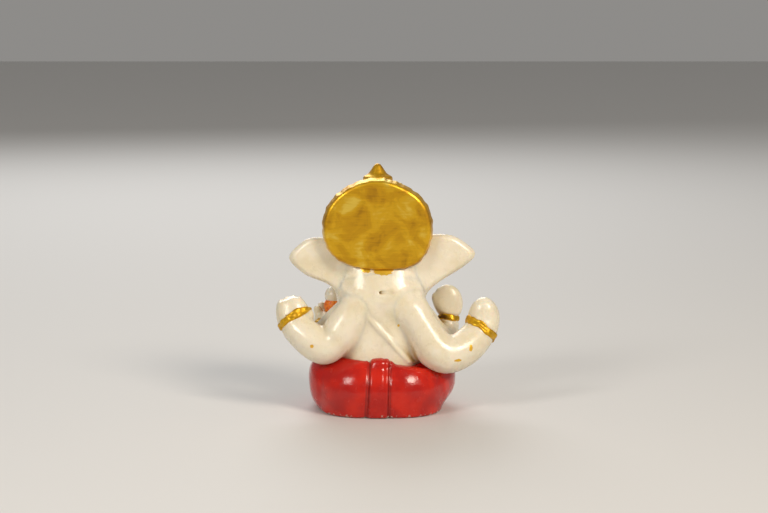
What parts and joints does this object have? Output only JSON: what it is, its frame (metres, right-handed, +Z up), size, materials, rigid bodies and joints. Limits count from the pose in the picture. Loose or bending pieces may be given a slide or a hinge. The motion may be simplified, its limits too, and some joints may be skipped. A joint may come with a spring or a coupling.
{
  "type": "seated ganesha idol",
  "caption": "Small cast-resin seated figure with an elephant head, four arms, a gold crown with a halo disc and a red dhoti, for a home or dashboard shrine.",
  "frame": {"origin": "middle of the flat base that the figure stands on, at floor level", "axes": "+Z up through the crown, -Y the way the face looks, +X towards the figure's own left"},
  "size_m": [0.0498, 0.0325, 0.0551],
  "materials": {
    "cream_resin": "bare cast resin, waxy and polished like alabaster",
    "gold_paint": "hand-brushed metallic gold paint on resin",
    "red_enamel": "glossy red enamel on resin, chipped along the base",
    "orange_paint": "satin orange paint on resin",
    "dark_paint": "painted eye"
  },
  "bodies": {
    "root": {"torso": "cream_resin", "sacred_thread": "cream_resin", "necklace": "gold_paint", "dhoti_seat": "red_enamel", "dhoti_back_pleat": "red_enamel", "left_leg": "red_enamel", "right_leg": "red_enamel", "left_foot": "cream_resin", "right_foot": "cream_resin", "left_anklet": "gold_paint", "right_anklet": "gold_paint", "head": "cream_resin", "trunk": "cream_resin", "left_tusk": "cream_resin", "right_tusk": "cream_resin", "left_eye": "dark_paint", "right_eye": "dark_paint", "left_ear": "cream_resin", "right_ear": "cream_resin", "crown_disc": "gold_paint", "crown_brim": "gold_paint", "crown_cap": "gold_paint", "crown_finial": "gold_paint", "crown_jewel": "red_enamel", "halo_beads": "gold_paint", "brim_beads": "gold_paint", "rear_left_arm": "cream_resin", "rear_right_arm": "cream_resin", "front_left_arm": "cream_resin", "front_right_arm": "cream_resin", "rear_left_hand": "cream_resin", "rear_right_hand": "cream_resin", "front_left_hand": "cream_resin", "front_right_hand": "cream_resin", "rear_left_bangle": "gold_paint", "rear_right_bangle": "gold_paint", "front_left_bangle": "gold_paint", "front_right_bangle": "gold_paint", "laddu": "orange_paint"}
  },
  "joints": []
}
